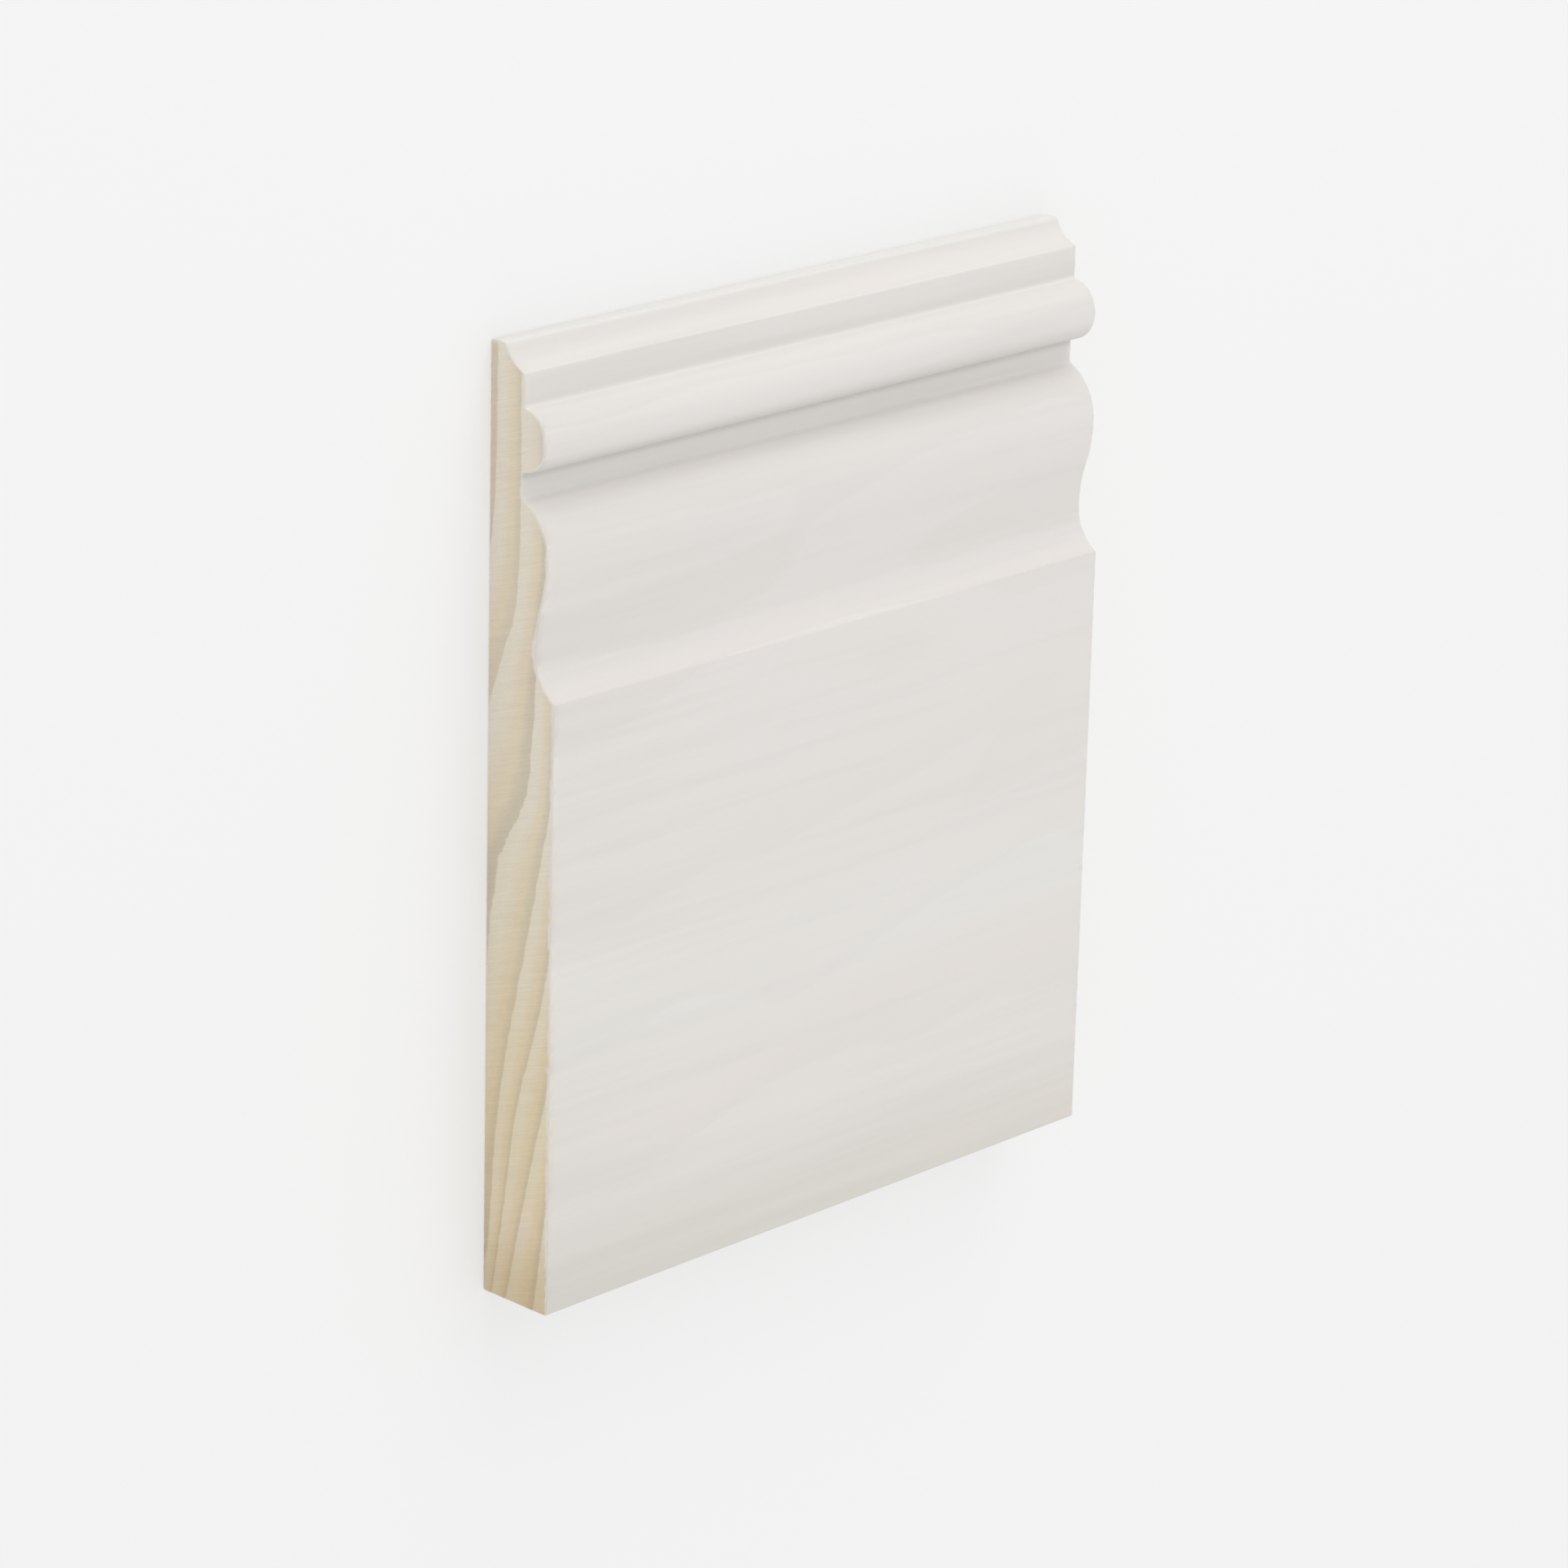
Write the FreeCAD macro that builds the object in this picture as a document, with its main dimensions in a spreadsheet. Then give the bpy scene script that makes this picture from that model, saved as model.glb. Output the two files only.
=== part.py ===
import FreeCAD, Part
import os
from math import atan2, sqrt

import Sketcher

# A short length of tall skirting board with a bead and ogee moulding along its top edge.
# It is one piece of softwood, run through a moulder and cut square at both ends.
# It lies on its flat back: X follows its length, +Y points to its moulded top edge, Z is 0 on its back,
# and the origin is in the middle of the back.

# Driving sizes in millimetres. A drop or height is measured up and down the face, and a setback from the
# flat face towards the back, as a moulding knife is drawn, so a thicker board keeps its moulding and
# gains a wider top edge.
DRIVING_SIZES = [
    ("board_length", 175.0, "sawn length of the piece"),
    ("board_height", 219.0, "floor edge to top edge"),
    ("board_thickness", 20.5, "back to flat face"),
    ("eased_edge", 0.8, "rounding of the four planed corners"),
    ("cove_setback", 16.0, "front corner of the top edge, where the cove starts"),
    ("cove_drop", 5.7, "top edge to the lip of the cove"),
    ("cove_radius", 9.0, "knife radius of the cove"),
    ("upper_fillet_setback", 10.0, "flat between the cove and the bead"),
    ("upper_fillet_height", 7.6, "lip of the cove to the top of the bead"),
    ("bead_radius", 7.2, "half round bead"),
    ("lower_fillet_setback", 10.4, "flat under the bead, in line with the bead's axis"),
    ("lower_fillet_height", 5.6, "bead to the foot of the ovolo"),
    ("ovolo_height", 12.6, "foot of the ovolo to the crest of the ogee"),
    ("crest_setback", 2.3, "crest of the ogee"),
    ("ogee_height", 21.0, "crest to hollow of the ogee"),
    ("hollow_setback", 5.8, "hollow of the ogee"),
    ("flare_height", 10.0, "hollow of the ogee to the arris of the flat face"),
]

# The section's outline in order, anticlockwise from the foot of the back: each edge's name, its form and
# the points it joins. A round edge bulges out of the wood and a hollow one is cut into it.
OUTLINE = [
    ("back", "line", "back_foot", "back_top"),
    ("top_edge", "line", "back_top", "cove_top"),
    ("cove", "hollow", "cove_top", "cove_lip"),
    ("upper_fillet", "line", "cove_lip", "bead_top"),
    ("bead", "round", "bead_top", "bead_foot"),
    ("lower_fillet", "line", "bead_foot", "ovolo_foot"),
    ("ovolo", "round", "ovolo_foot", "crest"),
    ("upper_ogee", "round", "crest", "inflection"),
    ("lower_ogee", "hollow", "inflection", "hollow"),
    ("flare", "hollow", "hollow", "arris"),
    ("face", "line", "arris", "face_foot"),
    ("floor_edge", "line", "face_foot", "back_foot"),
]

# Corners that the planer eases, as points of the outline
EASED_CORNERS = ["back_foot", "face_foot", "back_top", "cove_top"]

# Points of a sketch line or arc, by the numbers that a constraint uses, and the sketch's own origin
START, END, CENTRE = 1, 2, 3
SKETCH_ORIGIN = (-1, 1)

SAME_PLACE = 1e-4


def fill_sheet(doc):
    """Write the driving sizes into a sheet, one named row each."""
    sheet = doc.addObject("Spreadsheet::Sheet", "Sizes")
    for row, (name, value, note) in enumerate(DRIVING_SIZES, start=1):
        sheet.set(f"A{row}", name)
        sheet.set(f"B{row}", str(value))
        sheet.set(f"C{row}", note)
        sheet.setAlias(f"B{row}", name)
    doc.recompute()
    return sheet


def section_points(sheet):
    """Corners and arc centres of the section: x runs up the face and y out from the back."""
    half_height = sheet.board_height / 2

    def at(x, setback):
        return FreeCAD.Vector(x, sheet.board_thickness - setback, 0)

    lip_x = half_height - sheet.cove_drop
    bead_x = lip_x - sheet.upper_fillet_height - sheet.bead_radius
    bead_foot_x = bead_x - sheet.bead_radius
    ovolo_foot_x = bead_foot_x - sheet.lower_fillet_height
    crest_x = ovolo_foot_x - sheet.ovolo_height
    hollow_x = crest_x - sheet.ogee_height
    arris_x = hollow_x - sheet.flare_height

    # The bead rises out of the upper fillet, which stands slightly proud of the bead's axis
    fillet_step = sheet.lower_fillet_setback - sheet.upper_fillet_setback
    bead_top_x = bead_x + sqrt(sheet.bead_radius**2 - fillet_step**2)

    points = {
        "back_foot": at(-half_height, sheet.board_thickness),
        "back_top": at(half_height, sheet.board_thickness),
        "cove_top": at(half_height, sheet.cove_setback),
        "cove_lip": at(lip_x, sheet.upper_fillet_setback),
        "bead_top": at(bead_top_x, sheet.upper_fillet_setback),
        "bead_centre": at(bead_x, sheet.lower_fillet_setback),
        "bead_foot": at(bead_foot_x, sheet.lower_fillet_setback),
        "ovolo_foot": at(ovolo_foot_x, sheet.lower_fillet_setback),
        "crest": at(crest_x, sheet.crest_setback),
        "hollow": at(hollow_x, sheet.hollow_setback),
        "arris": at(arris_x, 0),
        "face_foot": at(-half_height, 0),
    }
    points["inflection"] = (points["crest"] + points["hollow"]) / 2

    # The cove's centre is on the open side of the chord from its top to its lip
    chord = points["cove_lip"] - points["cove_top"]
    reach = sqrt(sheet.cove_radius**2 - (chord.Length / 2) ** 2)
    open_side = FreeCAD.Vector(chord.y, -chord.x, 0) / chord.Length
    points["cove_centre"] = (points["cove_lip"] + points["cove_top"]) / 2 + open_side * reach

    # An arc that runs parallel to the face at its crest or hollow has its centre straight below or above
    def level_centre(level, other):
        span = points[other] - points[level]
        return points[level] + FreeCAD.Vector(0, span.Length**2 / (2 * span.y), 0)

    points["ovolo_centre"] = level_centre("crest", "ovolo_foot")
    points["upper_ogee_centre"] = level_centre("crest", "inflection")
    points["lower_ogee_centre"] = level_centre("hollow", "inflection")
    points["flare_centre"] = level_centre("hollow", "arris")
    return points


def draw_outline(sketch, points):
    """Add the lines and arcs, and return each one's number with its first and last point."""
    edges = {}
    for name, form, first, last in OUTLINE:
        begin, finish = points[first], points[last]
        if form == "line":
            edges[name] = (sketch.addGeometry(Part.LineSegment(begin, finish)), START, END)
            continue
        # A sketch's arcs turn anticlockwise, so a hollow edge is an arc drawn from its last point back
        centre = points[name + "_centre"]
        drawn = (begin, finish) if form == "round" else (finish, begin)
        angles = [atan2(point.y - centre.y, point.x - centre.x) for point in drawn]
        circle = Part.Circle(centre, FreeCAD.Vector(0, 0, 1), (begin - centre).Length)
        number = sketch.addGeometry(Part.ArcOfCircle(circle, *angles))
        edges[name] = (number, START, END) if form == "round" else (number, END, START)
    return edges


def constrain_outline(sketch, edges, sheet):
    """Close the outline and tie it to the sheet, so that it has no freedom left."""

    def first(name):
        return edges[name][0], edges[name][1]

    def last(name):
        return edges[name][0], edges[name][2]

    def centre(name):
        return edges[name][0], CENTRE

    def add(kind, *targets):
        return sketch.addConstraint(Sketcher.Constraint(kind, *targets))

    def dimension(kind, targets, *aliases):
        value = sum(getattr(sheet, alias) for alias in aliases)
        number = add(kind, *targets, value)
        sketch.renameConstraint(number, "_and_".join(aliases))
        sketch.setExpression(f"Constraints[{number}]", " + ".join(f"Sizes.{alias}" for alias in aliases))

    # Consecutive edges meet, and the two halves of the ogee run into each other smoothly
    names = [entry[0] for entry in OUTLINE]
    for before, after in zip(names, names[1:] + names[:1]):
        smooth = (before, after) == ("upper_ogee", "lower_ogee")
        add("Tangent" if smooth else "Coincident", *last(before), *first(after))

    # The flats are parallel or square to the back, and the back is centred on the origin
    for name in ("back", "upper_fillet", "lower_fillet", "face"):
        add("Horizontal", edges[name][0])
    for name in ("top_edge", "floor_edge"):
        add("Vertical", edges[name][0])
    add("Symmetric", *first("back"), *last("back"), *SKETCH_ORIGIN)

    # The arcs that meet at the crest and in the hollow are parallel to the face there
    for level_end in (last("ovolo"), first("upper_ogee"), last("lower_ogee"), first("flare")):
        add("Vertical", level_end[0], CENTRE, *level_end)
    add("Equal", edges["upper_ogee"][0], edges["lower_ogee"][0])
    add("Horizontal", *centre("bead"), *last("bead"))

    dimension("DistanceX", (*first("back"), *last("back")), "board_height")
    dimension("DistanceY", (*last("floor_edge"), *first("floor_edge")), "board_thickness")

    # Setbacks from the flat face
    dimension("DistanceY", (*first("cove"), *first("face")), "cove_setback")
    dimension("DistanceY", (*first("upper_fillet"), *first("face")), "upper_fillet_setback")
    dimension("DistanceY", (*first("lower_fillet"), *first("face")), "lower_fillet_setback")
    dimension("DistanceY", (*last("ovolo"), *first("face")), "crest_setback")
    dimension("DistanceY", (*last("lower_ogee"), *first("face")), "hollow_setback")

    # Steps down the face, from the top edge to the arris
    dimension("DistanceX", (*last("cove"), *first("cove")), "cove_drop")
    dimension("DistanceX", (*centre("bead"), *last("cove")), "upper_fillet_height", "bead_radius")
    dimension("DistanceX", (*last("lower_fillet"), *first("lower_fillet")), "lower_fillet_height")
    dimension("DistanceX", (*last("ovolo"), *first("ovolo")), "ovolo_height")
    dimension("DistanceX", (*last("lower_ogee"), *first("upper_ogee")), "ogee_height")
    dimension("DistanceX", (*last("flare"), *first("flare")), "flare_height")

    dimension("Radius", (edges["cove"][0],), "cove_radius")
    dimension("Radius", (edges["bead"][0],), "bead_radius")


def lengthwise_edges(shape, corners):
    """Names of the solid's edges that run along the board through the given corners of its section."""
    found = []
    for number, edge in enumerate(shape.Edges, start=1):
        ends = [vertex.Point for vertex in edge.Vertexes]
        for corner in corners:
            place = FreeCAD.Vector(0, corner.x, corner.y)
            if all((FreeCAD.Vector(0, end.y, end.z) - place).Length < SAME_PLACE for end in ends):
                found.append(f"Edge{number}")
    return found


def build_board(doc, sheet):
    """The board: its section, run along its length, with its planed corners eased."""
    body = doc.addObject("PartDesign::Body", "Board")
    body.Label = "skirting_board"

    section = body.newObject("Sketcher::SketchObject", "Section")
    plane = next(item for item in body.Origin.OriginFeatures if item.Role == "YZ_Plane")
    section.AttachmentSupport = [(plane, "")]
    section.MapMode = "FlatFace"
    points = section_points(sheet)
    constrain_outline(section, draw_outline(section, points), sheet)
    doc.recompute()
    if not section.FullyConstrained:
        raise RuntimeError("the section is not fully constrained")

    length = body.newObject("PartDesign::Pad", "SawnLength")
    length.Profile = section
    length.SideType = "Symmetric"
    length.setExpression("Length", "Sizes.board_length")
    doc.recompute()

    eased = body.newObject("PartDesign::Fillet", "EasedCorners")
    corners = [points[name] for name in EASED_CORNERS]
    eased.Base = (length, lengthwise_edges(length.Shape, corners))
    eased.setExpression("Radius", "Sizes.eased_edge")
    doc.recompute()
    return body


def check_document(doc, body):
    """Stop if a feature failed or the board is not one sound solid."""
    for item in doc.Objects:
        if {"Invalid", "Error"} & set(item.State):
            raise RuntimeError(f"{item.Label} did not recompute: {item.State}")
    shape = body.Shape
    if shape.isNull() or not shape.isValid() or len(shape.Solids) != 1:
        raise RuntimeError(f"{body.Label} is not one valid solid")


doc = FreeCAD.newDocument("SkirtingBoard")
sheet = fill_sheet(doc)
board = build_board(doc, sheet)
check_document(doc, board)

os.makedirs("parts", exist_ok=True)
board.Shape.exportStep(f"parts/{board.Label}.step")

box = board.Shape.BoundBox
print(f"{board.Label}: {box.XLength:.2f} x {box.YLength:.2f} x {box.ZLength:.2f} mm")
print(f"volume {board.Shape.Volume / 1000:.1f} cm3, faces {len(board.Shape.Faces)}")
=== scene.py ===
import math

import bpy
import numpy as np
from mathutils import Matrix, Vector


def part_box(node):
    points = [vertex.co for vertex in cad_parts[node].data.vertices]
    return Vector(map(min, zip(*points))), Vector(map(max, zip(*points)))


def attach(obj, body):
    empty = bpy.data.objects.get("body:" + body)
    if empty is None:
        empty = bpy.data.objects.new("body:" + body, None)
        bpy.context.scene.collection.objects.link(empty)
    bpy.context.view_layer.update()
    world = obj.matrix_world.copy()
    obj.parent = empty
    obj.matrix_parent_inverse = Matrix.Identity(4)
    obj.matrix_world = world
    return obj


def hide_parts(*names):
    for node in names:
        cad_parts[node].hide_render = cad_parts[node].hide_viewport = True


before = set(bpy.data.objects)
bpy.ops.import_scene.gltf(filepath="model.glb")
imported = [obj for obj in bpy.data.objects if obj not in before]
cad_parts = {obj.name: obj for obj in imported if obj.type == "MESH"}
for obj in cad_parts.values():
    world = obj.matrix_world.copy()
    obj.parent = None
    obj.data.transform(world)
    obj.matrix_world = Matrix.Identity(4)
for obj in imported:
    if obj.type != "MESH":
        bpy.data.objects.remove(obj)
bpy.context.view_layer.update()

# A short length of tall skirting board, lying on its flat back. X runs along it, +Y points to its
# moulded top edge and +Z out of its face. Sizes are in millimetres and become metres in the mesh.


def put(thing):
    bpy.context.scene.collection.objects.link(thing)
    return thing


# Sums on sockets


class Wire:                             # one output of a tree of nodes, so that sums read as sums
    def __init__(self, tree, node=None, output=0):
        self.tree = tree
        self.node = node
        self.output = output

    def add(self, kind, settings=None, values=None, output=0):
        # any node: its settings first, then a number or another wire for each socket
        node = self.tree.nodes.new(kind)
        for name, value in (settings or {}).items():
            if name == "steps":
                self.setSteps(node.color_ramp, value)
            else:
                setattr(node, name, value)
        for name, value in (values or {}).items():
            if isinstance(value, Wire):
                self.tree.links.new(value.node.outputs[value.output], node.inputs[name])
            else:
                node.inputs[name].default_value = value
        return Wire(self.tree, node, output)

    def outlet(self, name):             # another output of the same node
        return Wire(self.tree, self.node, name)

    def setSteps(self, ramp, shades):   # a ramp of equal steps, each with one shade of grey
        ramp.interpolation = "CONSTANT"
        for number, shade in enumerate(shades):
            start = number / len(shades)
            step = ramp.elements[0] if number == 0 else ramp.elements.new(start)
            step.color = (shade, shade, shade, 1)
        ramp.elements.remove(ramp.elements[-1])

    def maths(self, operation, first, second=0.0):
        return self.add("ShaderNodeMath", {"operation": operation}, {0: first, 1: second})

    def __add__(self, number):
        return self.maths("ADD", self, number)

    def __radd__(self, number):
        return self.maths("ADD", number, self)

    def __sub__(self, number):
        return self.maths("SUBTRACT", self, number)

    def __rsub__(self, number):
        return self.maths("SUBTRACT", number, self)

    def __mul__(self, number):
        return self.maths("MULTIPLY", self, number)

    def __rmul__(self, number):
        return self.maths("MULTIPLY", number, self)

    def fraction(self):                 # what is left after the last whole number
        return self.maths("FRACT", self)

    def axis(self, letter):             # one coordinate of a place
        return self.add("ShaderNodeSeparateXYZ", None, {0: self}, letter)

    def rise(self, low, high, bottom=0.0, top=1.0):
        # from bottom to top as this wire goes from low to high, level at both ends
        ends = {"From Min": low, "From Max": high, "To Min": bottom, "To Max": top}
        return self.add("ShaderNodeMapRange", {"interpolation_type": "SMOOTHSTEP"}, {"Value": self, **ends})

    def zone(self, letter, *limits):    # a rise along one axis of a place
        return self.axis(letter).rise(*limits)

    def swing(self, amount):            # a pattern's swing about its middle
        return amount * (self - 0.5)

    def noise(self, cells, detail, roughness):
        # cloudy pattern on a place, with so many cells a metre along X, Y and Z
        place = self.add("ShaderNodeMapping", None, {"Vector": self, "Scale": cells})
        look = {"Vector": place, "Scale": 1.0, "Detail": detail, "Roughness": roughness}
        return self.add("ShaderNodeTexNoise", {"noise_dimensions": "3D"}, look)

    def blend(self, first, second, kind="MIX"):
        # this wire's share of the second colour over the first
        look = {"data_type": "RGBA", "blend_type": kind}
        return self.add("ShaderNodeMix", look, {0: self, 6: first, 7: second}, 2)

    def tint(self, colour, shades):     # this wire's share of a dimming of the colour
        return self.blend(colour, shades, "MULTIPLY")


def newMaterial(name):
    material = bpy.data.materials.new(name)
    material.use_nodes = True
    material.node_tree.nodes.clear()
    return material, Wire(material.node_tree)


# Camera

view = {
    "place": (-0.937816, 0.432705, 0.902240),   # metres
    "right": (0.69684, 0.02393, 0.71683),       # directions of the picture's right and top
    "up": (0.21522, 0.94641, -0.24081),
    "lens": 138.5,                              # millimetres
    "reach": (0.01, 50),                        # nearest and farthest that it sees, in metres
}


def addCamera(view):
    # the camera's own axes: right, up, and backwards square to both
    right, up = Vector(view["right"]).normalized(), Vector(view["up"])
    back = right.cross(up).normalized()
    up = back.cross(right)
    turn = Matrix((right, up, back)).transposed().to_4x4()
    camera = put(bpy.data.objects.new("photoCamera", bpy.data.cameras.new("photoCamera")))
    camera.data.lens = view["lens"]
    camera.data.clip_start, camera.data.clip_end = view["reach"]
    camera.matrix_world = Matrix.Translation(view["place"]) @ turn
    bpy.context.scene.camera = camera


addCamera(view)
print("camera placed")

# Floor, backdrop and lamps

studio = {
    "floorSize": 14.0,                  # metres
    "floorDrop": 0.00005,               # metres under the board's back
    "floorColour": (0.905, 0.905, 0.905, 1),
    "floorGlow": (0.893, 0.893, 0.893, 1),
    "glowShare": 0.5,                   # how much of the floor's shadows the glow takes, where it is seen
    "skyColour": (1.0, 1.0, 1.0, 1),
    "skyLevel": 0.805,
    "backdropColour": (0.90, 0.90, 0.90, 1),
    "lamps": [                          # name, place, aim, side in metres, watts
        ("topPanel", (0.15, 1.25, 0.30), (0.0, 0.05, 0.01), 0.9, 3.8),
        ("highPanel", (0.25, 1.35, 1.35), (0.0, 0.02, 0.0), 1.5, 4.7),
        ("lowPanel", (0.3, -2.7, 1.9), (0.0, 0.0, 0.0), 2.2, 17.0),
    ],
}


def backdropSeen(wires):
    # 1 for what looks at the backdrop straight, in gloss or through glass, and 0 for what it lights
    path = wires.add("ShaderNodeLightPath")
    return path.outlet("Is Camera Ray") + path.outlet("Is Glossy Ray") + path.outlet("Is Transmission Ray")


def addFloor(studio):
    # one square, lit by the lamps, and in part glowing for what looks at it
    half = studio["floorSize"] / 2
    drop = -studio["floorDrop"]
    mesh = bpy.data.meshes.new("floor")
    corners = [(-half, -half, drop), (half, -half, drop), (half, half, drop), (-half, half, drop)]
    mesh.from_pydata(corners, [], [(0, 1, 2, 3)])
    floor = put(bpy.data.objects.new("floor", mesh))
    material, wires = newMaterial("paleFloor")
    matt = wires.add("ShaderNodeBsdfDiffuse", None, {"Color": studio["floorColour"]})
    glow = wires.add("ShaderNodeEmission", None, {"Color": studio["floorGlow"]})
    share = backdropSeen(wires) * studio["glowShare"]
    both = wires.add("ShaderNodeMixShader", None, {0: share, 1: matt, 2: glow})
    wires.add("ShaderNodeOutputMaterial", None, {"Surface": both})
    mesh.materials.append(material)


def addSky(studio):
    # the world lights evenly, and what is seen of it is the pale backdrop
    world = bpy.data.worlds.new("softSky")
    bpy.context.scene.world = world
    world.use_nodes = True
    world.node_tree.nodes.clear()
    wires = Wire(world.node_tree)
    glow = {"Color": studio["skyColour"], "Strength": studio["skyLevel"]}
    light = wires.add("ShaderNodeBackground", None, glow)
    backdrop = wires.add("ShaderNodeBackground", None, {"Color": studio["backdropColour"]})
    both = wires.add("ShaderNodeMixShader", None, {0: backdropSeen(wires), 1: light, 2: backdrop})
    wires.add("ShaderNodeOutputWorld", None, {"Surface": both})


def addLamps(studio):
    for name, place, aim, side, watts in studio["lamps"]:
        lamp = bpy.data.lights.new(name, "AREA")
        lamp.shape = "SQUARE"
        lamp.size = side
        lamp.energy = watts
        turn = (Vector(place) - Vector(aim)).to_track_quat("Z", "Y").to_matrix().to_4x4()
        put(bpy.data.objects.new(name, lamp)).matrix_world = Matrix.Translation(place) @ turn


bpy.context.scene.view_settings.view_transform = "Standard"
addFloor(studio)
addSky(studio)
addLamps(studio)
print("studio lit")

# The board's section

length, height, thickness = 1000 * (np.array(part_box("skirting_board")[1]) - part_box("skirting_board")[0])

board = {
    "length": length,
    "height": height,
    "thickness": thickness,
    "easedEdge": 0.8,                   # round of the four planed corners
    "coveSetback": 16.0,                # setbacks are measured from the flat face
    "coveDrop": 5.7,
    "coveRadius": 9.0,
    "upperFilletSetback": 10.0,
    "upperFilletHeight": 7.6,
    "beadRadius": 7.2,
    "lowerFilletSetback": 10.4,
    "lowerFilletHeight": 5.6,
    "ovoloHeight": 12.6,
    "crestSetback": 2.3,
    "ogeeHeight": 21.0,
    "hollowSetback": 5.8,
    "flareHeight": 10.0,
    "fineStep": 0.05,                   # spacing of the worked-out outline
    "coatSoftening": 0.12,              # how far the coat rounds sharp corners
    "cornerFill": 0.45,                 # and how far it fills inner ones
    "fillTurn": (0.15, 0.5),            # from which turning, in radians a millimetre, and where in full
    "wearWidth": 0.5,                   # how far an edge's wear spreads
    "rows": 350,                        # stations up the section
    "columns": 92,                      # stations along the board
    "steps": 24,                        # stations from front to back
    "turnPull": 3.0,                    # how much closer the rows stand where the section turns
    "endPull": 0.15,                    # and the columns towards both ends
    "rimPull": 0.35,                    # and the steps towards face and back
    "sawnArris": 0.18,                  # bevel that the saw and sandpaper leave round each end
    "arrisWaves": (3.3, 10.3),          # lengths of the waves that make it uneven,
    "arrisSwing": 0.5,                  # and by what share
    "grainRelief": 0.03,                # depth of the soft wood between the hard rings, under the coat
    "planerRelief": 0.04,               # unevenness of the planed sides
    "planerWaves": [(120, 270, 400, 0.7), (295, -145, 57, 0.0)],    # lengths along X, Y and Z, and turn
    "sawRelief": 0.02,                  # unevenness of the sawn ends
    "sawWaves": (7.0, 18.0),            # lengths along Y and Z
    "quirkScale": (2, 5, 0.6),          # how distances from the quirk count upwards, downwards and in depth
    "sharpAngle": 40,                   # degrees, from which an edge is shaded as sharp
}


def arcPoints(centre, first, last, count=400):
    # circle about the centre, from the first point the shorter way round to the last
    start, stop = first - centre, last - centre
    angle = math.atan2(start[1], start[0])
    sweep = math.atan2(start[0] * stop[1] - start[1] * stop[0], start @ stop)
    angles = angle + sweep * np.linspace(0, 1, count)
    return centre + np.hypot(*start) * np.stack([np.cos(angles), np.sin(angles)], 1)


def levelArc(level, other):
    # arc that runs level through one point and meets the other: radius is span squared over twice the rise
    span = other - level
    centre = level + np.array([0, (span @ span) / (2 * span[1])])
    return arcPoints(centre, level, other)


def frontOutline(board):
    # the face from floor edge to top edge, each point as height from the middle and depth from the back
    half, thick, ease = board["height"] / 2, board["thickness"], board["easedEdge"]

    def at(height, setback):
        return np.array([height, thick - setback])

    lip = half - board["coveDrop"]
    beadMiddle = lip - board["upperFilletHeight"] - board["beadRadius"]
    beadFoot = beadMiddle - board["beadRadius"]
    ovoloFoot = beadFoot - board["lowerFilletHeight"]
    crest = at(ovoloFoot - board["ovoloHeight"], board["crestSetback"])
    hollow = at(crest[0] - board["ogeeHeight"], board["hollowSetback"])
    arris = at(hollow[0] - board["flareHeight"], 0)
    inflection = (crest + hollow) / 2
    ovoloEnd = at(ovoloFoot, board["lowerFilletSetback"])
    beadCentre = at(beadMiddle, board["lowerFilletSetback"])
    filletStep = board["lowerFilletSetback"] - board["upperFilletSetback"]
    beadRise = math.sqrt(board["beadRadius"] ** 2 - filletStep**2)
    beadTop = at(beadMiddle + beadRise, board["upperFilletSetback"])
    coveLip = at(lip, board["upperFilletSetback"])
    coveTop = at(half, board["coveSetback"])
    chord = coveLip - coveTop
    reach = math.sqrt(board["coveRadius"] ** 2 - (chord @ chord) / 4)
    coveCentre = (coveLip + coveTop) / 2 + np.array([chord[1], -chord[0]]) / np.hypot(*chord) * reach

    # the eased corner between the cove and the top edge touches both
    reachOut = board["coveRadius"] + ease
    easeHeight = half - ease
    easeDepth = coveCentre[1] - math.sqrt(reachOut**2 - (easeHeight - coveCentre[0]) ** 2)
    easeCentre = np.array([easeHeight, easeDepth])
    coveEnd = coveCentre + (easeCentre - coveCentre) * board["coveRadius"] / reachOut

    return np.concatenate([
        arcPoints(at(-half + ease, ease), at(-half, ease), at(-half + ease, 0)),
        levelArc(hollow, arris)[::-1],
        levelArc(hollow, inflection),
        levelArc(crest, inflection)[::-1],
        levelArc(crest, ovoloEnd),
        arcPoints(beadCentre, at(beadFoot, board["lowerFilletSetback"]), beadTop),
        arcPoints(coveCentre, coveLip, coveEnd),
        arcPoints(easeCentre, coveEnd, np.array([half, easeDepth])),
    ])


def evenly(points, spacing):
    # points at even distances along a line of points, and those distances from its start
    moved = np.hypot(*np.diff(points, axis=0).T)
    points = points[np.concatenate([[True], moved > 1e-7])]
    run = np.concatenate([[0], np.cumsum(np.hypot(*np.diff(points, axis=0).T))])
    wanted = np.linspace(0, run[-1], int(run[-1] / spacing) + 1)
    return np.stack([np.interp(wanted, run, values) for values in points.T], 1), wanted


def smoothed(values, width):
    # bell-weighted average over the neighbours within four widths, with both ends carried on straight
    reach = int(width * 4) + 1
    bell = np.exp(-0.5 * (np.arange(-reach, reach + 1) / width) ** 2)
    padded = np.pad(values, reach, mode="reflect", reflect_type="odd")
    return np.convolve(padded, bell / bell.sum(), mode="valid")


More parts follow.
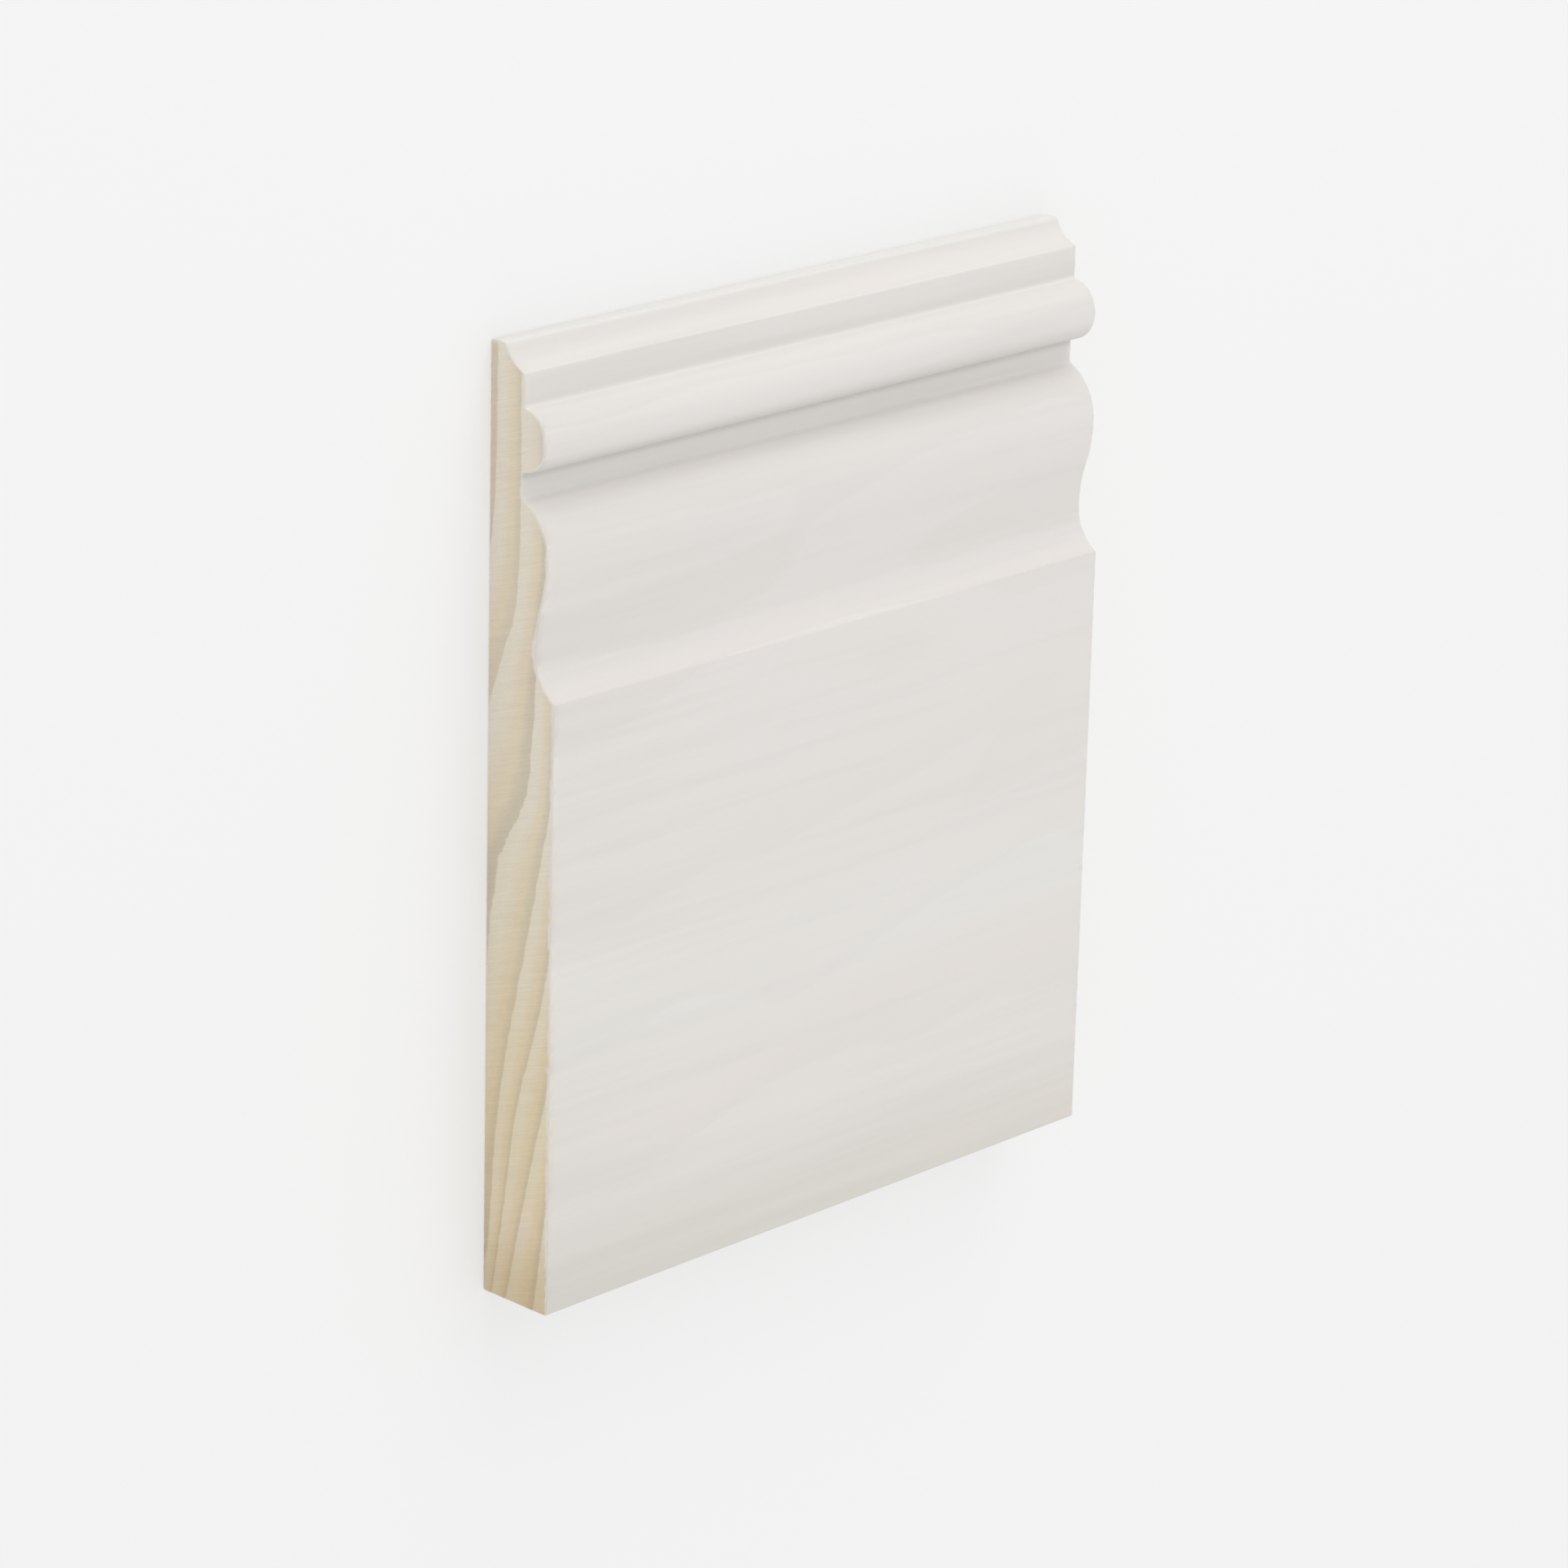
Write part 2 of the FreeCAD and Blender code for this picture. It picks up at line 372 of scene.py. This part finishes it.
def sectionStations(board):
    # stations up the face, at even steps of its run and the root of its turning together, the back's depth
    # at the same heights, and how sharply the face turns out there, in radians a millimetre
    step = board["fineStep"]
    bare, run = evenly(frontOutline(board), step)
    sharp, filled = (np.stack([smoothed(values, board[width] / step) for values in bare.T], 1)
                     for width in ("coatSoftening", "cornerFill"))
    rise, out = np.gradient(sharp, axis=0).T
    heading = np.unwrap(np.arctan2(out, rise))
    turning = smoothed(-np.gradient(heading, run), board["wearWidth"] / step)
    first, full = board["fillTurn"]
    fine = sharp + (filled - sharp) * np.clip((-turning - first) / (full - first), 0, 1)[:, None]
    effort = np.cumsum(1 + board["turnPull"] * np.sqrt(np.abs(turning)))
    share = (effort - effort[0]) / (effort[-1] - effort[0])
    wanted = np.interp(np.linspace(0, 1, board["rows"]), share, run)
    heights, depths, turns = (np.interp(wanted, run, values) for values in (*fine.T, turning))
    half, ease = board["height"] / 2, board["easedEdge"]
    heights = np.clip(np.maximum.accumulate(heights), -half, half)
    over = np.clip(np.abs(heights) - (half - ease), 0, ease)
    backDepths = ease - np.sqrt(ease**2 - over**2)
    return np.stack([heights, depths], 1), np.stack([heights, backDepths], 1), turns


def sectionLoop(front, back, steps):
    # closed loop: up the face, back over the top edge, down the back and forward under the floor edge
    share = np.linspace(0, 1, steps + 1)[1:-1, None]
    top = front[-1] + (back[-1] - front[-1]) * share
    foot = back[0] + (front[0] - back[0]) * share
    return np.concatenate([front, top, back[::-1], foot])


# The growth rings inside the board

rings = {
    # each ring line of the left end, as (distance below the top edge, depth from the back)
    "lines": [
        [(-20, -7), (40, -8), (90, -40), (240, -130)],
        [(-20, 2.4), (20, 2.3), (36, 1.8), (50, 0), (90, -26), (240, -110)],
        [(-20, 9.6), (44, 9.7), (54, 9.1), (60, 8.3), (64, 6.9), (68, 5), (74, 3.1), (80, 1.2), (90, -4),
         (150, -40), (240, -80)],
        [(-20, 14.6), (20, 16.4), (46, 18), (60, 15.6), (72, 15.1), (84, 14.4), (92, 13.8), (98, 13),
         (102, 11.7), (106, 9.6), (110, 6.8), (116, 4.2), (125, 2.4), (136, 1), (150, -0.6),
         (165, -1.5), (178, -5), (190, -11), (240, -22)],
        [(-20, 24), (60, 22), (86, 20.6), (102, 19.7), (115, 16.9), (130, 13.8), (147, 9.7), (160, 6.8),
         (172, 4.7), (182, 3.6), (192, 2.9), (203, 2.2), (215, 0.6), (240, -4)],
        [(-20, 36), (60, 28), (100, 23.6), (134, 20.2), (145, 18.2), (155, 15.4), (165, 12.2), (175, 9.6),
         (195, 6.6), (215, 3.4), (240, -1)],
        [(-20, 46), (60, 36), (140, 24), (166, 20), (180, 16.3), (200, 11.5), (219, 7.2), (240, 3)],
        [(-20, 58), (100, 39), (150, 30), (180, 23), (197, 19.4), (219, 16.2), (240, 13)],
        [(-20, 70), (100, 49), (190, 29), (219, 24.5), (240, 21)],
        [(-20, 84), (100, 60), (190, 38), (240, 29)],
    ],
    "lineSpan": (-20, 240),             # distances below the top edge that the lines are worked out at
    "lineStep": 0.5,
    "lineSoftening": 2.0,
    "tilt": 14.0,                       # how much higher the rings lie at the right end,
    "tiltBelow": 150.0,                 # in full from this far below the top edge,
    "tiltPower": 1.5,                   # and growing by this power of the distance
    "waves": [(0.8, 150, 60, 0.4), (0.45, 83, 37, 2.1), (0.15, 41, 23, 4.0)],   # size, lengths, turn
    "waveStart": 25.0,                  # they grow from nothing at the left end
    "swirl": {"place": (17.0, 24.5), "size": (26.0, 9.0), "depth": 5.0},        # of the figure in the face
    "strengths": (0.65, 0.5, 0.85, 0.65, 0.65, 0.7, 0.75, 0.7, 0.8),    # how dark each ring ends
    "hardFrom": 0.45,                   # share of a ring where it begins to harden,
    "hardRise": 0.47,                   # and over which it does,
    "hardEnd": 0.06,                    # and the last of it, where it softens again
}


def ringCount(rings, board, x, y, z):
    # how many rings lie between the heart and each point: between two lines, its share of the way across
    fromLeft = x + board["length"] / 2
    drop = board["height"] / 2 - y
    lift = np.clip(drop / rings["tiltBelow"], 0, 1) ** rings["tiltPower"]
    drop = drop + rings["tilt"] * fromLeft / board["length"] * lift
    depth = z.copy()
    grown = 1 - np.exp(-fromLeft / rings["waveStart"])
    for size, longWave, highWave, turn in rings["waves"]:
        depth += size * grown * np.sin(2 * np.pi * (x / longWave + drop / highWave) + turn)
    swirl = rings["swirl"]
    (middleX, middleY), (spanX, spanY) = swirl["place"], swirl["size"]
    away = ((x - middleX) / spanX) ** 2 + ((y - middleY) / spanY) ** 2
    depth += swirl["depth"] * np.exp(-away) * (z / board["thickness"]) ** 2
    drops = np.arange(*rings["lineSpan"], rings["lineStep"])
    lines = []
    for line in rings["lines"]:
        soft = smoothed(np.interp(drops, *np.array(line).T), rings["lineSoftening"] / rings["lineStep"])
        lines.append(np.interp(drop, drops, soft))
    return sum(np.clip((depth - low) / (high - low), 0, 1) for low, high in zip(lines, lines[1:]))


def hardness(rings, count):
    # 0 in the soft early wood of a ring, 1 in the hard late wood, and sharply down again at the ring's end
    share = count - np.floor(count)
    up = np.clip((share - rings["hardFrom"]) / rings["hardRise"], 0, 1)
    down = np.clip((1 - share) / rings["hardEnd"], 0, 1)
    return up * up * (3 - 2 * up) * down


# The board's surface


def lengthStations(board):
    # even stations along the board, each drawn towards its end by a share of how far a quarter wave lies
    # above a straight line
    share = np.linspace(-1, 1, board["columns"])
    pulled = share + board["endPull"] * (np.sin(share * np.pi / 2) - share)
    return (board["length"] / 2 - board["sawnArris"]) * pulled


def outwards(loop):
    # unit directions out of the wood: a closed loop's run past each point, turned a quarter
    along = np.roll(loop, -1, axis=0) - np.roll(loop, 1, axis=0)
    square = np.stack([-along[:, 1], along[:, 0]], 1)
    return square / np.maximum(np.hypot(*square.T), 1e-9)[:, None]


def sideRelief(board, x, y, z):
    # how far the finished sides lie inside the planed ones: soft wood between the rings, and planer waves
    soft = board["grainRelief"] * (1 - hardness(rings, ringCount(rings, board, x, y, z)))
    waves = [np.sin(2 * np.pi * (x / a + y / b + z / c) + turn) for a, b, c, turn in board["planerWaves"]]
    return soft + board["planerRelief"] * (1 + sum(waves) / len(waves)) / 2


def sideLoops(board, loop, normal):
    # the section's loop at every station along X, drawn in by the relief
    x, y = np.meshgrid(lengthStations(board), loop[:, 0], indexing="ij")
    z = np.broadcast_to(loop[:, 1], x.shape)
    inset = sideRelief(board, x, y, z)
    return np.stack([x, y - inset * normal[:, 0], z - inset * normal[:, 1]], 2)


def rimLoop(board, side, nearest, normal):
    # the rim of one sawn end: the nearest side loop carried to the end and drawn in by an uneven bevel
    first, second = (np.sin(2 * np.pi * nearest[:, 1] / wave + side) for wave in board["arrisWaves"])
    bevel = board["sawnArris"] * (1 + board["arrisSwing"] * first * second)
    return np.stack([np.full(len(nearest), side * board["length"] / 2),
                     nearest[:, 1] - bevel * normal[:, 0], nearest[:, 2] - bevel * normal[:, 1]], 1)


def rimNumbers(board, numbers):
    # the rim's point numbers round the edge of a grid with rows up the end and steps from front to back
    rows, steps = board["rows"], board["steps"]
    grid = np.zeros((rows, steps + 1), int)
    grid[:, 0] = numbers[:rows]
    grid[-1, 1:-1] = numbers[rows:rows + steps - 1]
    grid[:, -1] = numbers[rows + steps - 1:2 * rows + steps - 1][::-1]
    grid[0, 1:-1] = numbers[2 * rows + steps - 1:][::-1]
    return grid


def endPoints(board, side, front, back):
    # straight lines across the end from face to back, with the saw's shallow waves
    share = np.linspace(0, 1, board["steps"] + 1)[None, 1:-1, None]
    share = share - board["rimPull"] * np.sin(2 * np.pi * share) / (2 * np.pi)
    inside = front[1:-1, None] + (back - front)[1:-1, None] * share
    high, deep = (2 * np.pi / wave for wave in board["sawWaves"])
    waves = np.sin(inside[..., 1] * high + inside[..., 2] * deep)
    inside[..., 0] -= side * board["sawRelief"] * (1 + waves)
    return inside


def boardSurface(board):
    # all points, the faces of four points, each face's material slot and each point's turning, with the
    # outline of the board's face: side loops between two rims, and each end a grid that shares its rim
    front, back, turns = sectionStations(board)
    loop = sectionLoop(front, back, board["steps"])
    normal = outwards(loop)
    sides = sideLoops(board, loop, normal)
    leftRim = rimLoop(board, -1, sides[0], normal)
    rightRim = rimLoop(board, 1, sides[-1], normal)
    loops = np.concatenate([leftRim[None], sides, rightRim[None]])
    numbers = np.arange(loops[..., 0].size).reshape(loops.shape[:2])
    ahead = np.roll(numbers, -1, axis=1)
    sideFaces = np.stack([numbers[:-1], numbers[1:], ahead[1:], ahead[:-1]], 2).reshape(-1, 4)
    loopTurns = np.concatenate([turns, np.zeros(len(loop) - len(turns))])

    points, faces = [loops.reshape(-1, 3)], [sideFaces]
    slots, turning = [np.zeros(len(sideFaces), int)], [np.tile(loopTurns, len(loops))]
    used = numbers.size
    for side, rim in ((-1, 0), (1, -1)):
        grid = rimNumbers(board, numbers[rim])
        corner = grid - numbers[rim, 0]
        inside = endPoints(board, side, loops[rim][corner[:, 0]], loops[rim][corner[:, -1]])
        grid[1:-1, 1:-1] = used + np.arange(inside[..., 0].size).reshape(inside.shape[:2])
        used += inside[..., 0].size
        quads = np.stack([grid[:-1, :-1], grid[1:, :-1], grid[1:, 1:], grid[:-1, 1:]], 2).reshape(-1, 4)
        points.append(inside.reshape(-1, 3))
        faces.append(quads[:, ::-side])
        slots.append(np.ones(len(quads), int))
        turning.append(np.zeros(inside[..., 0].size))
    return *map(np.concatenate, (points, faces, slots, turning)), front


def rimDistance(board, points, front):
    # distance in from the face, measured straight back, or from the top edge where that is nearer
    depth = np.interp(points[:, 1], front[:, 0], front[:, 1])
    return np.minimum(depth - points[:, 2], board["height"] / 2 - points[:, 1])


def quirkDistance(board, points):
    # distance from the corner under the bead, with heights above it, heights below it and depths each scaled
    corner = board["height"] / 2 - board["coveDrop"] - board["upperFilletHeight"] - 2 * board["beadRadius"]
    depth = board["thickness"] - board["lowerFilletSetback"]
    upwards, downwards, deep = board["quirkScale"]
    rise = points[:, 1] - corner
    return np.hypot(np.where(rise > 0, upwards, downwards) * rise, deep * (points[:, 2] - depth))


def addBoard(board):
    points, faces, slots, turning, front = boardSurface(board)
    mesh = bpy.data.meshes.new("skirtingBoard")
    mesh.from_pydata((points / 1000).tolist(), [], faces.tolist())
    mesh.polygons.foreach_set("material_index", slots)
    mesh.polygons.foreach_set("use_smooth", np.ones(len(faces), bool))
    values = {
        "ringCount": ringCount(rings, board, *points.T),
        "rimDistance": rimDistance(board, points, front),
        "edgeTurn": turning,
        "quirkDistance": quirkDistance(board, points),
    }
    for name, numbers in values.items():
        mesh.attributes.new(name, "FLOAT", "POINT").data.foreach_set("value", numbers.astype(np.float32))
    mesh.set_sharp_from_angle(angle=math.radians(board["sharpAngle"]))
    mesh.update()
    return put(bpy.data.objects.new("skirtingBoard", mesh))


# The board's finishes

finish = {
    "coat": (0.741, 0.717, 0.702, 1),
    "dullAndShadedCoat": (0.645, 0.622, 0.580, 1),       # painted shade towards the floor edge and the left, and duller coat in patches and streaks
    "bandAndPaintedLightTint": (1.020, 1.035, 1.035, 1),      # brightens a band along the face, and paints light on the top edge and in inner corners
    "quirkShade": (0.480, 0.460, 0.425, 1),           # painted shade in the quirk under the bead
    "bledCoatWithPaintedLight": (0.800, 0.775, 0.735, 1),       # coat run over the rims of the sawn ends, painted lighter than the coat itself as painted light on the dimmer ends
    "upperWood": (0.823, 0.768, 0.648, 1),      # early wood by the moulded edge
    "lowerWood": (0.797, 0.706, 0.524, 1),      # and by the floor edge
    "pinkWood": (0.820, 0.715, 0.630, 1),
    "goldenTint": (0.965, 0.905, 0.810, 1),     # each tint dims the wood by these shares
    "lateTint": (0.800, 0.825, 0.860, 1),
    "sawnShadeTint": (0.845, 0.792, 0.738, 1),
    "coatCover": 0.90,                  # how much of the wood's colour the coat hides
    "beadWash": 0.35,                   # and how much a thin wash of it hides on the sawn bead
    "coatRoughness": 0.46,
    "woodRoughness": 0.78,
    "refraction": 1.46,                 # of coat and wood

    # patterns, as cells a metre along X, Y and Z, detail and roughness
    "waver": ((14, 260, 260), 2.0, 0.5),        # of the ring lines
    "clouds": ((7, 45, 60), 2.0, 0.5),          # of colour in the early wood
    "fibres": ((22, 1500, 1500), 3.0, 0.6),
    "patches": ((9, 16, 16), 2.0, 0.5),         # of thicker and thinner coat
    "streaks": ((9, 260, 260), 3.0, 0.6),
    "stipple": ((420, 900, 900), 2.0, 0.6),
    "brushLines": ((16, 2200, 2200), 2.0, 0.5),
    "pores": ((900, 3200, 3200), 2.0, 0.7),
    "scratches": ((300, 2600, 90), 3.0, 0.65),  # along the saw's slant
    "ragged": ((80, 130, 130), 4.0, 0.7),       # edge of the bled coat
    "sawSlant": (0.32, 0, 0),                   # radians about X, Y and Z

    # how far a pattern swings something
    "ringsByWaver": 0.1,                # rings
    "heightByClouds": 0.06,             # metres
    "goldenByClouds": 0.5,
    "lateByFibres": 0.4,
    "coverByPatches": 0.06,
    "coverByStreaks": 0.15,
    "dullByPatches": 0.2,
    "dullByStreaks": 1.0,
    "roughnessByStipple": 0.12,
    "roughnessByBareness": 0.4,
    "roughnessByPores": 0.2,
    "bleedByRagged": 3.5,               # millimetres

    # zones of the board, as the axis, from where to where in metres, and the strength before and after
    "thinEnd": ("X", -0.0874, -0.0848, 1.0, 0.0),
    "thinFoot": ("Y", -0.109, -0.092, 0.1, 0.0),
    "thinBack": ("Z", 0.0001, 0.0006, 0.35, 0.0),
    # painted shade: darker coat towards the floor edge, more so to the left, and towards the left end
    "shadedFoot": ("Y", -0.120, -0.068, 1.0, 0.0),
    "shadedLeft": ("X", -0.05, 0.0875, 1.0, 0.65),
    "shadedEnd": ("X", -0.0875, 0.0, 0.15, 0.0),
    "bandFoot": ("Y", -0.058, -0.046, 0.0, 1.0),
    "bandTop": ("Y", -0.036, -0.022, 1.0, 0.0),
    # painted light on the top edge
    "paintedLightTop": ("Y", 0.1083, 0.1092, 0.0, 1.0),
    # painted shade on the sawn end towards the floor edge
    "sawnShadeFoot": ("Y", -0.109, -0.086, 1.0, 0.0),
    "beadFront": ("Z", 0.0105, 0.0125, 0.0, 1.0),
    "beadFoot": ("Y", 0.076, 0.084, 0.0, 1.0),

    # limits on a pattern or an attribute, as from where to where, and the strength before and after
    "goldenPart": (0.2, 0.72, 0.0, 1.0),        # shares of a ring
    "latePart": (0.66, 0.93, 0.0, 1.0),
    "lastPart": (0.965, 1.0, 0.0, 1.0),
    "upperFrom": (-0.08, 0.02, 0.0, 1.0),       # heights in metres
    "pinkClouds": (0.5, 0.75, 0.0, 0.6),
    "wornTurn": (0.2, 1.0, 0.0, 1.0),           # radians a millimetre
    # painted light in sharp inner corners, against their shade
    "paintedLightTurn": (-0.5, -0.12, 1.0, 0.0),
    "wornPatches": (0.3, 0.7, 0.0, 0.15),
    "thinPatches": (0.3, 0.7, 0.15, 0.4),
    "quirkShadeReach": (0.0, 11.0, 0.55, 0.0),        # millimetres
    "bleedReach": (0.1, 1.2, 0.9, 0.0),
    "poreMarks": (0.2, 0.8, 0.0, 0.5),
    "scratchMarks": (0.25, 0.75, 0.0, 0.5),
    "markShade": (0.0, 1.0, 0.92, 1.04),

    # relief of the surface: each pattern's share of it, and its bump
    "coatRelief": (0.35, 0.25, 0.3, 0.3),       # late wood, fibres, stipple and brush lines
    "coatBump": {"Strength": 0.6, "Distance": 0.00008},
    "sawnRelief": (0.6, 0.5, 0.3),              # scratches, pores and late wood
    "sawnBump": {"Strength": 0.5, "Distance": 0.00012},
}


def attribute(wires, name):
    return wires.add("ShaderNodeAttribute", {"attribute_name": name}, None, "Fac")


def woodColour(wires, place, finish):
    # each ring goes from pale early wood through golden to dark late wood, and then ends sharply
    waver = place.noise(*finish["waver"])
    count = attribute(wires, "ringCount") + waver.swing(finish["ringsByWaver"])
    share = count.fraction()
    going = 1 - share.rise(*finish["lastPart"])
    ring = count * (1 / len(rings["strengths"]))
    strength = wires.add("ShaderNodeValToRGB", {"steps": rings["strengths"]}, {0: ring})
    golden = share.rise(*finish["goldenPart"]) * going
    late = share.rise(*finish["latePart"]) * going * strength

    # the early wood is yellower towards the floor edge and pinkish in patches, with fibres all over
    clouds = place.noise(*finish["clouds"])
    fibres = place.noise(*finish["fibres"])
    upper = (place.axis("Y") + clouds.swing(finish["heightByClouds"])).rise(*finish["upperFrom"])
    early = upper.blend(finish["lowerWood"], finish["upperWood"])
    early = clouds.rise(*finish["pinkClouds"]).blend(early, finish["pinkWood"])
    colour = (golden + clouds.swing(finish["goldenByClouds"])).tint(early, finish["goldenTint"])
    colour = (late + fibres.swing(finish["lateByFibres"])).tint(colour, finish["lateTint"])
    return colour, late, fibres


def bumpNormal(wires, patterns, shares, bump):
    # the surface's tilt, from patterns that each give their share of its height
    relief = sum(pattern * share for pattern, share in zip(patterns, shares))
    return wires.add("ShaderNodeBump", None, {"Height": relief, **bump})


def outputMaterial(material, wires, colour, roughness, normal):
    # the shader that both finishes end in
    shader = wires.add("ShaderNodeBsdfPrincipled", None, {
        "Base Color": colour, "Roughness": roughness, "Normal": normal, "IOR": finish["refraction"]})
    wires.add("ShaderNodeOutputMaterial", None, {"Surface": shader})
    return material


def coatMaterial(finish):
    # thin white coat, thinnest by the left end: the wood's colour shows through by what the cover leaves
    material, wires = newMaterial("whiteCoat")
    place = wires.add("ShaderNodeTexCoord", None, None, "Object")
    wood, late, fibres = woodColour(wires, place, finish)
    patches = place.noise(*finish["patches"])
    streaks = place.noise(*finish["streaks"])
    turn = attribute(wires, "edgeTurn")
    worn = turn.rise(*finish["wornTurn"]) * patches.rise(*finish["wornPatches"])
    thin = place.zone(*finish["thinEnd"]) * patches.rise(*finish["thinPatches"])
    cover = finish["coatCover"] - place.zone(*finish["thinBack"])
    cover = cover + patches.swing(finish["coverByPatches"]) + streaks.swing(finish["coverByStreaks"])
    cover = cover - worn - thin - place.zone(*finish["thinFoot"])
    colour = cover.blend(wood, finish["coat"])

    # painted shade towards the left of the floor edge and towards the left end, with duller coat in patches
    # and streaks;
    # brighter in a band along the face, painted light on the top edge and in inner corners, and painted
    # shade in the quirk under the bead
    dullAndShade = place.zone(*finish["shadedFoot"]) * place.zone(*finish["shadedLeft"]) + place.zone(*finish["shadedEnd"])
    dullAndShade = dullAndShade + patches.swing(finish["dullByPatches"]) + streaks.swing(finish["dullByStreaks"])
    colour = dullAndShade.blend(colour, finish["dullAndShadedCoat"])
    band = place.zone(*finish["bandFoot"]) * place.zone(*finish["bandTop"])
    bandAndPaintedLight = band + place.zone(*finish["paintedLightTop"]) + turn.rise(*finish["paintedLightTurn"])
    colour = bandAndPaintedLight.tint(colour, finish["bandAndPaintedLightTint"])
    # painted shade in the quirk under the bead and on the bead's underside
    quirkShaded = attribute(wires, "quirkDistance").rise(*finish["quirkShadeReach"])
    colour = quirkShaded.blend(colour, finish["quirkShade"])

    # raised late wood and fibres, the coat's fine stipple and the brush's lines along the board
    stipple = place.noise(*finish["stipple"])
    brushLines = place.noise(*finish["brushLines"])
    roughness = finish["coatRoughness"] + stipple.swing(finish["roughnessByStipple"])
    roughness = roughness + (1 - cover) * finish["roughnessByBareness"]
    patterns = (late, fibres, stipple, brushLines)
    normal = bumpNormal(wires, patterns, finish["coatRelief"], finish["coatBump"])
    return outputMaterial(material, wires, colour, roughness, normal)


def sawnMaterial(finish):
    # bare end grain: rings, dark pores and the saw's slanting scratches, with coat bled over the rim and
    # washed thinly over the bead
    material, wires = newMaterial("barePine")
    place = wires.add("ShaderNodeTexCoord", None, None, "Object")
    wood, late = woodColour(wires, place, finish)[:2]
    pores = place.noise(*finish["pores"])
    slant = wires.add("ShaderNodeMapping", None, {"Vector": place, "Rotation": finish["sawSlant"]})
    scratches = slant.noise(*finish["scratches"])
    marks = pores.rise(*finish["poreMarks"]) + scratches.rise(*finish["scratchMarks"])
    shade = marks.rise(*finish["markShade"])
    wood = wires.add("ShaderNodeVectorMath", {"operation": "SCALE"}, {0: wood, "Scale": shade})
    # painted shade: the sawn end darker and browner towards the floor edge
    wood = place.zone(*finish["sawnShadeFoot"]).tint(wood, finish["sawnShadeTint"])
    ragged = place.noise(*finish["ragged"])
    inwards = attribute(wires, "rimDistance") + ragged.swing(finish["bleedByRagged"])
    bead = place.zone(*finish["beadFront"]) * place.zone(*finish["beadFoot"])
    bleed = inwards.rise(*finish["bleedReach"]) + bead * finish["beadWash"]
    # painted light: the bled coat is lighter than the coat itself, to make up for the end's dimmer light
    colour = bleed.blend(wood, finish["bledCoatWithPaintedLight"])
    roughness = finish["woodRoughness"] + pores.swing(finish["roughnessByPores"])
    normal = bumpNormal(wires, (scratches, pores, late), finish["sawnRelief"], finish["sawnBump"])
    return outputMaterial(material, wires, colour, roughness, normal)


piece = addBoard(board)
print("board made of", len(piece.data.polygons), "faces")
piece.data.materials.append(coatMaterial(finish))
piece.data.materials.append(sawnMaterial(finish))
print("coat and sawn ends finished")
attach(piece, "root")
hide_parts("skirting_board")

bpy.context.view_layer.update()
